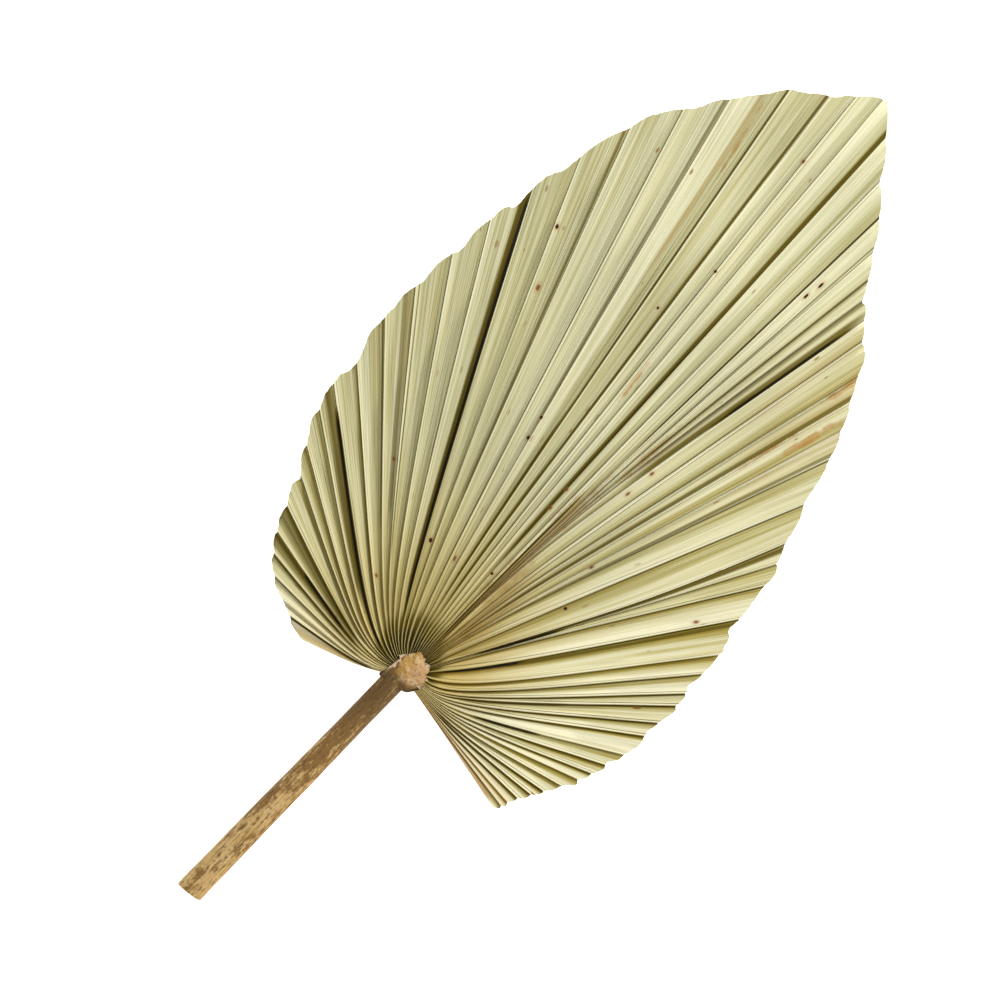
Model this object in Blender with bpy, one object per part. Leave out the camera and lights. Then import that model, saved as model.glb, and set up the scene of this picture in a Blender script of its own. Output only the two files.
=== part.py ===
"""Dried palm leaf: a pleated fan blade on a short cut leaf stalk, lying on its lower face.

The leaf lies along Y, from the stalk's cut end to the blade's tip, with its upper face up (+Z).
Every rib of the blade starts at the hub, where blade and stalk meet, and ends on the cut outline.
Ribs are told apart by bearing: the angle at the hub between a rib's end and the leaf's length,
in degrees, negative to the left. Plan positions are measured from the hub until the last step,
which puts the origin at the middle of the leaf's box, at the bottom.
"""
import math
import random

import bmesh
import bpy
from mathutils import Matrix, Vector

MM = 0.001
GAP = 0.3 * MM

# Outline of the blade: bearing of a point on the edge and its distance from the hub
TIP_BEARING = -1.2
TIP_REACH = 316.5 * MM
LEFT_REACH = [(-116, 47.5 * MM), (-106, 58 * MM), (-96, 71 * MM), (-86, 81 * MM), (-76, 90 * MM),
              (-66, 105.5 * MM), (-56, 126.5 * MM), (-51, 133 * MM), (-46, 148.5 * MM),
              (-36, 176.5 * MM), (-26, 216 * MM), (-16, 263 * MM), (-6, 299 * MM),
              (TIP_BEARING, TIP_REACH)]
RIGHT_REACH = [(TIP_BEARING, TIP_REACH), (4, 282.5 * MM), (9, 254.5 * MM), (19, 214.5 * MM),
               (29, 174 * MM), (39, 146 * MM), (49, 127 * MM), (59, 112 * MM), (69, 101 * MM),
               (79, 90 * MM), (89, 80 * MM), (99, 72.5 * MM), (108, 67.5 * MM)]
SCALLOP = 1.2 * MM

# Bites and bulges of the cut edge: bearing, how far out it goes, and half width in degrees
EDGE_NICKS = [(-105, -1.2 * MM, 2.5), (-71, -2.6 * MM, 2), (-62.5, 1.6 * MM, 1.5),
              (-53, -1.2 * MM, 1.2), (-48, 1.4 * MM, 1), (-43.5, -1.3 * MM, 0.8), (-39, -1.7 * MM, 1),
              (-34, -3.2 * MM, 1), (-28.2, -4.6 * MM, 1), (-24, -3 * MM, 1), (-18, 1.2 * MM, 0.8),
              (-14, -2.4 * MM, 0.9), (-8, 3 * MM, 0.9), (-4.4, -1.5 * MM, 0.5), (5, 1.3 * MM, 1),
              (9.6, -2.3 * MM, 0.9), (14.6, 2.7 * MM, 1.3), (25.5, -2 * MM, 1.6),
              (34.5, 3 * MM, 1.9), (42, -2.7 * MM, 1.1), (46, 1.4 * MM, 1), (52.3, -2.7 * MM, 1.2),
              (58, 1.1 * MM, 1), (63.5, -2.2 * MM, 1.3), (74, -2 * MM, 1), (84, 1.3 * MM, 1),
              (105.5, 2 * MM, 3)]

# Where a rib leaves the hub, and where it turns towards its end: bearing, then x and y in
# millimetres. Ribs at 5 to 25 degrees branch off the crease that carries the leaf's length.
RIB_BASE = [(-116, -7.7, -8.5), (-85, -7.3, -5.1), (-57, -6.6, -2.1), (-27, -5.1, 2.1),
            (-8, -2.6, 5.3), (3, 0.3, 7.3), (15, 2.6, 6.4), (35, 5.1, 4.1), (45, 6.5, 2.4),
            (57, 7.9, -0.2), (72, 8.8, -1.9), (90, 9.5, -3.2), (108, 10.1, -4.4)]
RIB_BEND = [(-116, -17.5, -13.5), (-107, -15.5, -12.8), (-96, -17, -11.5), (-85, -21, -9.5),
            (-77, -21.5, -8.5), (-70, -24, -6.5), (-60, -24, -3.8), (-51, -20.5, 1),
            (-40, -23.5, 8.5), (-34, -21, 8.5), (-27, -16, 7.5), (-19, -14, 12), (-12, -11, 24),
            (-5, -7.5, 25), (1, -1, 60), (5, 5.5, 73), (9, 5.8, 79), (11.4, 4.8, 66),
            (13, 9.5, 60), (16, 11.5, 53), (20, 11.5, 37), (25, 18, 45), (30.5, 58, 88),
            (36, 32, 44), (41, 22, 17.5), (46, 20.5, 6.5), (50, 18, -1), (57, 18, -3.5),
            (71, 23, -4), (79, 27, -5), (92, 27, -7.5), (108, 27, -10.5)]
BEND_PULL = 4
EDGE_PULL = 4

# Folds: the bearing of a ridge, how many pleats lie between it and the next ridge, and where the
# valleys lie in them, from 0 at the left ridge to 1 at the right one
FOLDS = [(-116, 1, 0.5), (-107.3, 2, 0.6), (-96.6, 1, 0.55), (-90.8, 1, 0.3), (-85.2, 1, 0.3),
         (-78.2, 1, 0.72), (-70.5, 1, 0.5), (-66, 1, 0.5), (-60.4, 1, 0.28), (-56.1, 1, 0.72),
         (-51, 1, 0.45), (-45.2, 1, 0.4), (-40.3, 1, 0.6), (-35.3, 1, 0.5), (-31, 1, 0.55),
         (-26.8, 1, 0.6), (-22.7, 1, 0.55), (-19, 1, 0.6), (-15.1, 1, 0.5), (-11.8, 1, 0.55),
         (-7.9, 1, 0.5), (-4.9, 1, 0.5), (-3.2, 1, 0.5), (-1.4, 1, 0.5), (0.7, 2, 0.5),
         (5.1, 2, 0.5), (8.6, 1, 0.5), (9.8, 1, 0.5), (11.4, 1, 0.5), (13, 1, 0.6), (15.8, 1, 0.4),
         (17.6, 1, 0.5), (20, 1, 0.4), (22.4, 1, 0.5), (26.3, 1, 0.5), (30.5, 2, 0.5),
         (35.8, 1, 0.45), (40.4, 1, 0.5), (46.4, 1, 0.5), (50, 1, 0.5), (54.1, 1, 0.5),
         (56.9, 1, 0.5), (61.3, 1, 0.45), (65, 1, 0.35), (70.9, 1, 0.5), (75.2, 1, 0.5),
         (79, 1, 0.5), (82.4, 1, 0.5), (86.7, 1, 0.5), (91.5, 1, 0.5), (95.2, 2, 0.5),
         (102.8, 2, 0.5), (108, 0, 0.5)]
FOLD_WANDER = 0.12
VALLEY_WANDER = 0.06
SEED = 7

# Pleats: sharp ridges and round valleys, which get shallower towards the hub
PLEAT_STEEPNESS = 0.12
PLEAT_HALF_DEPTH = 1.05 * MM
COLUMNS_PER_PLEAT = 4
RIB_ROWS = 10
BLADE_THICKNESS = 1.0 * MM

# How the leaf lies: the blade is highest along its middle and its two flanks touch the surface
HUB_HEIGHT = 9 * MM
FLANK_HEIGHT = 0.85 * MM
FLANK_DISTANCE = 80 * MM
MIDDLE_X = -5.9 * MM
TIP_LIFT = 3.5 * MM
WAVE_HEIGHT = 1.1 * MM
WAVE_LENGTH = 90 * MM

# Leaf stalk: a flattened rod from its cut end to the hub
STALK_LENGTH = 133.5 * MM
STALK_END_X = -8.1 * MM
STALK_TOP_X = -1.6 * MM
STALK_SECTIONS = [(0, 12 * MM, 8.6 * MM), (0.35, 11.4 * MM, 8.4 * MM), (0.75, 10.4 * MM, 8.2 * MM),
                  (1, 10.4 * MM, 8.0 * MM)]
STALK_RINGS = 14
STALK_SIDES = 20
STALK_FLATTEN = 0.78
STALK_RUN_IN = 4.5 * MM
STALK_FLAT_SHARE = 0.15

# Hub: the pointed lump over the ribs' roots, with a groove all round that the blade sits in.
# Its outline runs from the left over the point to the right and back, in millimetres.
# Each level is a height from the hub's middle, and how far the outline is drawn in or out there.
HUB_MIDDLE = Vector((0.9 * MM, -1.7 * MM))
GROOVE = BLADE_THICKNESS / 2 + 3 * GAP
HUB_OUTLINE = [(-6.7, -9.2), (-7.6, -5.0), (-6.7, -0.8), (-5.8, 2.8), (-3.1, 6.1), (0.3, 8.8),
               (4.1, 6.4), (7.2, 3.5), (9.1, -0.6), (11.2, -3.8), (8.5, -6.8), (3.8, -10.2)]
HUB_LEVELS = [(-4.6 * MM, 0.45), (-3.4 * MM, 0.95), (-1.6 * MM, 1.12), (-GROOVE, 1.1),
              (-GROOVE, 0.78), (GROOVE, 0.78), (GROOVE, 1.0), (2.2 * MM, 1.0), (3.2 * MM, 0.82),
              (3.9 * MM, 0.45)]

SHARP_ANGLE = math.radians(25)
BLADE_COLOUR = (0.60, 0.57, 0.36, 1)
STALK_COLOUR = (0.42, 0.28, 0.12, 1)


def clear_scene():
    """Removes what the file holds, so that the leaf stands alone."""
    for old in list(bpy.data.objects):
        bpy.data.objects.remove(old)


def make_material(name, colour, roughness):
    """A dry plant surface: one colour, no metal."""
    material = bpy.data.materials.new(name)
    material.use_nodes = True
    shader = material.node_tree.nodes["Principled BSDF"]
    shader.inputs["Base Color"].default_value = colour
    shader.inputs["Roughness"].default_value = roughness
    shader.inputs["Metallic"].default_value = 0
    return material


def make_object(name, bm, material):
    """Turns a finished bmesh into a named object."""
    mesh = bpy.data.meshes.new(name)
    bm.to_mesh(mesh)
    bm.free()
    mesh.shade_smooth()
    mesh.set_sharp_from_angle(angle=SHARP_ANGLE)
    mesh.materials.append(material)
    piece = bpy.data.objects.new(name, mesh)
    bpy.context.collection.objects.link(piece)
    return piece


def through(points, place):
    """Reads a smooth curve through (place, value, ...) points, as a list of values."""
    last = len(points) - 1
    right = 1
    while right < last and points[right][0] < place:
        right += 1
    left = right - 1
    before, after = max(left - 1, 0), min(right + 1, last)
    step = points[right][0] - points[left][0]
    t = (place - points[left][0]) / step
    values = []
    for low2, low, high, high2 in zip(points[before][1:], points[left][1:],
                                      points[right][1:], points[after][1:]):
        slope_low = (high - low2) / (points[right][0] - points[before][0]) * step
        slope_high = (high2 - low) / (points[after][0] - points[left][0]) * step
        values.append((2 * t**3 - 3 * t**2 + 1) * low + (t**3 - 2 * t**2 + t) * slope_low
                      + (3 * t**2 - 2 * t**3) * high + (t**3 - t**2) * slope_high)
    return values


def reach(bearing):
    """Distance from the hub to the blade's outline, without its scallops."""
    side = LEFT_REACH if bearing < TIP_BEARING else RIGHT_REACH
    nicks = sum(depth * math.exp(-((bearing - middle) / half_width)**2)
                for middle, depth, half_width in EDGE_NICKS)
    return through(side, bearing)[0] + nicks


def rib_point(bearing, t, extra=0.0):
    """Plan position on a rib: t is 0 at the hub and 1 on the edge, which extra pushes out."""
    angle = math.radians(bearing)
    end = (reach(bearing) + extra) * Vector((math.sin(angle), math.cos(angle)))
    base = Vector(through(RIB_BASE, bearing)) * MM
    bend = Vector(through(RIB_BEND, bearing)) * MM
    near, turning, far = (1 - t)**2, BEND_PULL * 2 * t * (1 - t), EDGE_PULL * t**2
    return (near * base + turning * bend + far * end) / (near + turning + far)


def make_pleats():
    """Lists the pleats, left to right: the bearings of both ridges, and where the valley lies."""
    draw = random.Random(SEED)
    pleats = []
    for (bearing, count, valley), (following, _, _) in zip(FOLDS, FOLDS[1:]):
        width = (following - bearing) / count
        wanders = [0] + [draw.uniform(-FOLD_WANDER, FOLD_WANDER) for _ in range(count - 1)] + [0]
        ridges = [bearing + (number + wander) * width for number, wander in enumerate(wanders)]
        for left, right in zip(ridges, ridges[1:]):
            pleats.append((left, right, valley + draw.uniform(-VALLEY_WANDER, VALLEY_WANDER)))
    return pleats


def lie(spot):
    """Height of the middle of the blade over the surface that it lies on."""
    across = min(abs(spot.x - MIDDLE_X) / FLANK_DISTANCE, 1)
    along = spot.y / TIP_REACH
    arch = HUB_HEIGHT - (HUB_HEIGHT - FLANK_HEIGHT) * across**2
    outward = min(spot.length / FLANK_DISTANCE, 1)
    wave = WAVE_HEIGHT * outward * math.sin(math.tau * spot.y / WAVE_LENGTH) * (1 - across**2)
    return arch + wave - (HUB_HEIGHT - TIP_LIFT) * max(along, 0)**3


def pleat_rise(pleat, phase, t):
    """Height of the pleats alone: a sharp ridge at phases 0 and 1, a round valley between."""
    left, right, valley = pleat
    width = (rib_point(right, t) - rib_point(left, t)).length
    half_depth = min(PLEAT_STEEPNESS * width, PLEAT_HALF_DEPTH)
    turn = 0.5 * phase / valley if phase < valley else 0.5 + 0.5 * (phase - valley) / (1 - valley)
    return half_depth * (1 - 2 * math.sin(math.pi * turn))


def make_blade():
    """The pleated blade: one thin sheet whose two faces share their triangles."""
    pleats = make_pleats()
    columns = COLUMNS_PER_PLEAT * len(pleats)
    bm = bmesh.new()
    bmesh.ops.create_grid(bm, x_segments=columns, y_segments=RIB_ROWS, size=0.5)
    bmesh.ops.triangulate(bm, faces=bm.faces[:])
    for vertex in bm.verts:
        column = round((vertex.co.x + 0.5) * columns)
        t = round((vertex.co.y + 0.5) * RIB_ROWS) / RIB_ROWS
        number = min(column // COLUMNS_PER_PLEAT, len(pleats) - 1)
        phase = column / COLUMNS_PER_PLEAT - number
        left, right, _ = pleats[number]
        scallop = SCALLOP * (math.sin(math.pi * phase) - 0.5)
        spot = rib_point(left + (right - left) * phase, t, scallop)
        low_face = lie(spot) + pleat_rise(pleats[number], phase, t) - BLADE_THICKNESS / 2
        vertex.co = (spot.x, spot.y, max(low_face, 0))
    top = bmesh.ops.extrude_face_region(bm, geom=bm.faces[:])["geom"]
    top_vertices = [part for part in top if isinstance(part, bmesh.types.BMVert)]
    bmesh.ops.translate(bm, verts=top_vertices, vec=(0, 0, BLADE_THICKNESS))
    bmesh.ops.recalc_face_normals(bm, faces=bm.faces[:])
    return make_object("leaf_blade", bm, make_material("blade", BLADE_COLOUR, 0.7))


def make_tube(ring_count, side_count, place):
    """A closed tube of rings: place(ring, side) gives each of its points."""
    bm = bmesh.new()
    circle = bmesh.ops.create_circle(bm, cap_ends=True, segments=side_count, radius=1)["verts"]
    rings = [circle]
    face = bm.faces[:][0]
    for _ in range(ring_count - 1):
        face = bmesh.ops.extrude_discrete_faces(bm, faces=[face])["faces"][0]
        rings.append([loop.vert for loop in face.loops])
    for ring, vertices in enumerate(rings):
        for side, vertex in enumerate(vertices):
            vertex.co = place(ring, side)
    bmesh.ops.holes_fill(bm, edges=bm.edges[:])
    bmesh.ops.recalc_face_normals(bm, faces=bm.faces[:])
    return bm


def stalk_point(ring, side):
    """A point on the stalk: rounded above, flattened below, rising gently to the hub."""
    along = ring / (STALK_RINGS - 1)
    width, thickness = through(STALK_SECTIONS, along)
    angle = math.tau * side / STALK_SIDES
    centre_x = STALK_END_X + (STALK_TOP_X - STALK_END_X) * along
    climb = max(along - STALK_FLAT_SHARE, 0) / (1 - STALK_FLAT_SHARE)
    rise = (HUB_HEIGHT - STALK_SECTIONS[0][2] / 2) * climb**1.5
    height = (STALK_FLATTEN + max(math.sin(angle), -STALK_FLATTEN)) * thickness / 2
    return (centre_x + width / 2 * math.cos(angle),
            -STALK_LENGTH + (STALK_LENGTH - STALK_RUN_IN) * along,
            rise + height)


def hub_point(ring, side):
    """A point on the hub: the outline, drawn in or out, level by level."""
    height, spread = HUB_LEVELS[ring]
    corner = Vector(HUB_OUTLINE[side]) * MM
    spot = HUB_MIDDLE + (corner - HUB_MIDDLE) * spread
    return (spot.x, spot.y, HUB_HEIGHT + height)


def make_stalk():
    """The leaf stalk and the hub, joined in one solid."""
    material = make_material("stalk", STALK_COLOUR, 0.75)
    stalk = make_object("leaf_stalk", make_tube(STALK_RINGS, STALK_SIDES, stalk_point), material)
    hub = make_object("hub", make_tube(len(HUB_LEVELS), len(HUB_OUTLINE), hub_point), material)
    join = stalk.modifiers.new("join_hub", "BOOLEAN")
    join.operation = "UNION"
    join.object = hub
    mesh = bpy.data.meshes.new_from_object(stalk.evaluated_get(bpy.context.evaluated_depsgraph_get()))
    stalk.modifiers.clear()
    stalk.data = mesh
    bpy.data.objects.remove(hub)
    return stalk


def centre_on_box(pieces):
    """Puts the origin under the middle of the leaf's box."""
    corners = [vertex.co for piece in pieces for vertex in piece.data.vertices]
    low = Vector([min(corner[axis] for corner in corners) for axis in range(3)])
    high = Vector([max(corner[axis] for corner in corners) for axis in range(3)])
    shift = Vector((-(low.x + high.x) / 2, -(low.y + high.y) / 2, -low.z))
    for piece in pieces:
        piece.data.transform(Matrix.Translation(shift))


clear_scene()
centre_on_box([make_blade(), make_stalk()])
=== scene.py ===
"""Dried palm leaf: the looks of a pleated fan blade on a short cut leaf stalk.

The leaf lies along Y, tip towards +Y, upper face up. Every rib starts at the hub, where blade and
stalk meet, and ends on the cut outline. Ribs are told apart by bearing: the angle at the hub between
a rib's end and the leaf's length, in degrees, negative to the left. Plan positions are measured from
the hub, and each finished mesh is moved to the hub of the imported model.
"""
import math
import random

import bmesh
import bpy
from mathutils import Matrix, Vector, noise


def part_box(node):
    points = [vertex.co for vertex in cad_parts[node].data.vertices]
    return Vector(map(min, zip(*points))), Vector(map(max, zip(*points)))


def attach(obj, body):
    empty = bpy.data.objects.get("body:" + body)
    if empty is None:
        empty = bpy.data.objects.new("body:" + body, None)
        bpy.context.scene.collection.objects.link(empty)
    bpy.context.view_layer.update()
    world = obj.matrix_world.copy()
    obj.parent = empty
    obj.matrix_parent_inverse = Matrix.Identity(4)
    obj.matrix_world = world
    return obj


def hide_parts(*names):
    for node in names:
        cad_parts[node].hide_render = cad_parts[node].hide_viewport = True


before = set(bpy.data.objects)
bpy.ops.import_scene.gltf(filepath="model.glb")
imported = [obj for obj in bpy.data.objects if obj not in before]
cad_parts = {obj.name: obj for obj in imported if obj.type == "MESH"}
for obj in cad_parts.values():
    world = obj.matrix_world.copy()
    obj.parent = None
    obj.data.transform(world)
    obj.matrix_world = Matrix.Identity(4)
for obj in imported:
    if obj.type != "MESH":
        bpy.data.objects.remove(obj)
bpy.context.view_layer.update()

MM = 0.001

# Outline of the blade: bearing of a point on the edge and its distance from the hub
TIP_BEARING = -1.2
TIP_REACH = 316.5 * MM
LEFT_REACH = [(-116, 47.5 * MM), (-106, 58 * MM), (-96, 71 * MM), (-86, 81 * MM), (-76, 90 * MM),
              (-66, 105.5 * MM), (-56, 126.5 * MM), (-51, 133 * MM), (-46, 148.5 * MM),
              (-36, 176.5 * MM), (-26, 216 * MM), (-16, 263 * MM), (-6, 299 * MM),
              (TIP_BEARING, TIP_REACH)]
RIGHT_REACH = [(TIP_BEARING, TIP_REACH), (4, 282.5 * MM), (9, 254.5 * MM), (19, 214.5 * MM),
               (29, 174 * MM), (39, 146 * MM), (49, 127 * MM), (59, 112 * MM), (69, 101 * MM),
               (79, 90 * MM), (89, 80 * MM), (99, 72.5 * MM), (108, 67.5 * MM)]
SCALLOP = 1.2 * MM

# Bites and bulges of the cut edge: bearing, how far out it goes in millimetres, and half width in
# degrees
EDGE_NICKS = [(-105, -1.2, 2.5), (-71, -2.6, 2), (-62.5, 1.6, 1.5),
              (-53, -1.2, 1.2), (-48, 1.4, 1), (-43.5, -1.3, 0.8), (-39, -1.7, 1),
              (-34, -3.2, 1), (-28.2, -4.6, 1), (-24, -3, 1), (-18, 1.2, 0.8),
              (-14, -2.4, 0.9), (-8, 3, 0.9), (-4.4, -1.5, 0.5), (2.9, -1.6, 0.6),
              (5.6, 1.3, 1), (9.6, -2.3, 0.8), (14.6, 2.7, 1.3), (25.5, -2, 1.6),
              (34.5, 3, 1.9), (42, -2.7, 1.1), (46, 1.4, 1), (52.3, -2.7, 1.2),
              (58, 1.1, 1), (63.5, -2.2, 1.3), (74, -2, 1), (84, 1.3, 1),
              (105.5, 2, 3)]
TRIM_ROUGHNESS = 0.5 * MM
TRIM_LENGTH = 2.2 * MM

# Where a rib leaves the hub, and where it turns towards its end: bearing, then x and y in
# millimetres. Ribs at 5 to 25 degrees branch off the crease that carries the leaf's length.
RIB_BASE = [(-116, -7.7, -8.5), (-85, -7.3, -5.1), (-57, -6.6, -2.1), (-27, -5.1, 2.1),
            (-8, -2.6, 5.3), (3, 0.3, 7.3), (15, 2.6, 6.4), (35, 5.1, 4.1), (45, 6.5, 2.4),
            (57, 7.5, -0.4), (72, 7.8, -2.2), (90, 7.7, -3.8), (108, 7.2, -5.6)]
RIB_BEND = [(-116, -17.5, -13.5), (-107, -15.5, -12.8), (-96, -17, -11.5), (-85, -21, -9.5),
            (-77, -21.5, -8.5), (-70, -24, -6.5), (-60, -24, -3.8), (-51, -20.5, 1),
            (-40, -23.5, 8.5), (-34, -21, 8.5), (-27, -16, 7.5), (-19, -14, 12), (-12, -11, 24),
            (-5, -7.5, 25), (1, -1, 60), (5, 5.5, 73), (9, 5.8, 79), (11.4, 4.8, 66),
            (13, 9.5, 60), (16, 11.5, 53), (20, 11.5, 37), (25, 18, 45), (30.5, 58, 88),
            (36, 32, 44), (41, 22, 17.5), (46, 20.5, 6.5), (50, 18, -1), (57, 18, -3.5),
            (71, 23, -4), (79, 27, -5), (92, 27, -7.5), (108, 27, -10.5)]
BEND_PULL = 4
EDGE_PULL = 4

# Folds: the bearing of a ridge, how many pleats lie between it and the next ridge, and where the
# valleys lie in them, from 0 at the left ridge to 1 at the right one
FOLDS = [(-116, 1, 0.5), (-107.3, 2, 0.6), (-96.6, 1, 0.55), (-90.8, 1, 0.3), (-85.2, 1, 0.3),
         (-78.2, 1, 0.72), (-70.5, 1, 0.5), (-66, 1, 0.5), (-60.4, 1, 0.28), (-56.1, 1, 0.72),
         (-51, 1, 0.45), (-45.2, 1, 0.4), (-40.3, 1, 0.6), (-35.3, 1, 0.5), (-31, 1, 0.55),
         (-26.8, 1, 0.6), (-22.7, 1, 0.55), (-19, 1, 0.6), (-15.1, 1, 0.5), (-11.8, 1, 0.55),
         (-7.9, 1, 0.5), (-4.9, 1, 0.5), (-3.2, 1, 0.5), (-1.4, 1, 0.5), (0.7, 2, 0.5),
         (5.1, 2, 0.5), (8.6, 1, 0.5), (9.8, 1, 0.5), (11.4, 1, 0.5), (13, 1, 0.6), (15.8, 1, 0.4),
         (17.6, 1, 0.5), (20, 1, 0.4), (22.4, 1, 0.5), (26.3, 1, 0.5), (30.5, 2, 0.5),
         (35.8, 1, 0.45), (40.4, 1, 0.5), (46.4, 1, 0.5), (50, 1, 0.5), (54.1, 1, 0.5),
         (56.9, 1, 0.5), (61.3, 1, 0.45), (65, 1, 0.35), (70.9, 1, 0.5), (75.2, 1, 0.5),
         (79, 1, 0.5), (82.4, 1, 0.5), (86.7, 1, 0.5), (91.5, 1, 0.5), (95.2, 2, 0.5),
         (102.8, 2, 0.5), (108, 0, 0.5)]
FOLD_WANDER = 0.12
VALLEY_WANDER = 0.06
SEED = 7

# Pleats: sharp ridges and round valleys. They are steeper close to the hub, where they are narrow.
PLEAT_STEEPNESS = 0.12
HUB_STEEPNESS = 0.24
STEEP_NEAR = 15 * MM
STEEP_FAR = 75 * MM
PLEAT_HALF_DEPTH = 1.05 * MM
DEPTH_SPREAD = (0.8, 1.15)
DEPTH_BY_BEARING = [(-116, 0.75), (-60, 0.9), (-30, 0.75), (0, 0.6), (20, 0.75), (40, 1.1), (108, 1.2)]
COLUMN_WIDTH = 0.78 * MM
FEWEST_COLUMNS = 8
COLUMN_CROWDING = 0.5
RIB_ROWS = 46
RIB_SAMPLES = 24
SOLID_HALF_THICKNESS = 0.5 * MM
BLADE_THICKNESS = 0.5 * MM

# How the leaf lies: the blade is highest along its middle and its two flanks touch the surface
HUB_HEIGHT = 9 * MM
FLANK_HEIGHT = 0.85 * MM
FLANK_DISTANCE = 80 * MM
MIDDLE_X = -5.9 * MM
TIP_LIFT = 3.5 * MM
WAVE_HEIGHT = 1.1 * MM
WAVE_LENGTH = 90 * MM

# Leaf stalk: a flattened rod from its cut end to the hub
STALK_LENGTH = 133.5 * MM
STALK_END_X = -8.1 * MM
STALK_TOP_X = -1.6 * MM
STALK_SECTIONS = [(0, 12 * MM, 8.6 * MM), (0.35, 11.4 * MM, 8.4 * MM), (0.75, 10.4 * MM, 8.2 * MM),
                  (1, 10.4 * MM, 8.0 * MM)]
STALK_RINGS = 150
STALK_SIDES = 80
STALK_FLATTEN = 0.78
STALK_RUN_IN = 4.5 * MM
STALK_FLAT_SHARE = 0.15
GROOVE_DEPTH = 0.3 * MM
GROOVE_LENGTH = 26 * MM
FINE_GROOVE_LENGTH = 12 * MM
CUT_SLANT = 0.05
CUT_BEVEL = 0.6 * MM
CUT_LIFT = 0.5 * MM
HUB_TO_BOX_LEFT = 14.1 * MM

# Hub: the pointed lump over the ribs' roots. Its outline runs from the left over the point to the
# right and back, in millimetres. Each level is a height from its middle, how far it is drawn in
# there, and how ragged its rim is.
HUB_MIDDLE = Vector((0.9 * MM, -1.7 * MM))
HUB_OUTLINE = [(-6.7, -9.4), (-7.0, -6.0), (-6.2, -2.4), (-6.2, 2.8), (-3.3, 6.0), (-0.2, 8.8),
               (3.2, 7.0), (6.2, 4.6), (8.2, 1.4), (8.8, -1.6), (6.8, -5.4), (3.4, -8.4)]
HUB_LEVELS = [(-4.6 * MM, 0.45, 0), (-3.4 * MM, 0.95, 0.02), (-1.6 * MM, 1.12, 0.03),
              (-1.4 * MM, 1.1, 0.03), (-1.4 * MM, 0.78, 0.02), (0.7 * MM, 0.78, 0.02),
              (0.9 * MM, 0.93, 0.1), (1.2 * MM, 1.0, 0.14), (1.6 * MM, 0.96, 0.12),
              (2.1 * MM, 0.86, 0.1), (2.7 * MM, 0.7, 0.08), (3.2 * MM, 0.52, 0.06),
              (3.5 * MM, 0.34, 0.05), (3.7 * MM, 0.17, 0.03)]
HUB_SIDES = 96
HUB_BUMP = 0.5 * MM
HUB_BUMP_SIZE = Vector((2.4 * MM, 5 * MM))
FIRST_BUMPY_LEVEL = 7
PINK_MIDDLE = Vector((1.8 * MM, 1.4 * MM))
PINK_REACH = 8 * MM

# Scraps of torn sheath round the hub: picture point, heading in degrees, length and width in
# millimetres. They curl up towards their tips, where they are narrower.
SCRAPS = [(395, 664, 42, 8.0, 1.8), (405, 655, 15, 4.0, 1.8),
          (427, 664, -20, 3.0, 1.4), (419, 682, -70, 4.2, 2.2),
          (425, 677, -40, 3.0, 1.4)]
SCRAP_LIFT = 1.2 * MM
SCRAP_CURL = 1.6 * MM
SCRAP_CUP = 1.2 * MM
SCRAP_THICKNESS = 0.25 * MM
SCRAP_TAPER = 0.7
SCRAP_RAGGEDNESS = 0.3

# The picture that the leaf is matched to: a point in it is pixels from its upper left corner
PICTURE_SIZE = 1002
PICTURE_HUB = Vector((410, 668))
METRES_PER_PIXEL = 0.000427
LEAF_TURN = math.radians(41.19)
CAMERA_HEIGHT = 1.3

# The lamp stands high beyond the tip, a little to the right. Ridges to the left of its bearing are
# dark on their left side, the others on their right.
KEY_BEARING = 22
KEY_ELEVATION = 48
KEY_DISTANCE = 1.6
KEY_SIZE = 0.22
KEY_POWER = 24.5
KEY_COLOUR = (1.0, 0.98, 0.94)
WORLD_STRENGTH = 0.3
FLOOR_HALF_SIZE = 3
FLOOR_DROP = 0.5 * MM

# How light the tissue is, and how strongly its facets differ, by bearing. A facet is darkened or
# lightened by a share of that, as it is turned away from the lamp or towards it: painted shade and
# painted light, on top of the lamp's own.
LIGHTNESS = [(-116, 0.85), (-104, 1.02), (-93, 0.84), (-84, 0.66), (-60, 0.66), (-20, 0.64),
             (0, 0.67), (12, 0.7), (27, 0.78), (50, 0.87), (70, 0.84), (108, 0.86)]
LIGHTNESS_SPREAD = 0.2
FACET_CONTRAST = [(-116, 0.25), (-95, 0.3), (-60, 0.42), (-40, 0.25), (-15, 0.14), (5, 0.14),
                  (14, 0.36), (25, 0.4), (38, 0.58), (50, 0.74), (108, 0.72)]
CONTRAST_SPREAD = (0.4, 1.35)
PAINTED_SHADE_AWAY_FROM_KEY = -0.6
PAINTED_LIGHT_TOWARDS_KEY = 0.12
# Painted shade in the crease at the foot of every ridge on its dark side: bearing, strength, and half
# width. On the lit side lie a pale gleam, which is a painted highlight, and a second, thinner line.
CREASE_SHADES = [(-116, 0.15, 0.5 * MM), (-98, 0.25, 0.5 * MM), (-85, 0.4, 0.6 * MM), (-60, 0.45, 0.5 * MM),
           (-35, 0.42, 0.42 * MM), (0, 0.42, 0.4 * MM), (20, 0.45, 0.5 * MM), (40, 0.48, 0.65 * MM),
           (60, 0.58, 0.75 * MM), (95, 0.5, 0.7 * MM), (108, 0.3, 0.6 * MM)]
CREASE_SHADE_SPREAD = (0.3, 1.2)
CREASE_SHADE_OFFSET = 0.3 * MM
GLEAM_OFFSET = 0.6 * MM
GLEAM_HALF_WIDTH = 0.5 * MM
GLEAM_STRENGTH = 0.2
LINE_OFFSET = 1.35 * MM
LINE_HALF_WIDTH = 0.24 * MM
LINE_STRENGTH = 0.7
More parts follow.
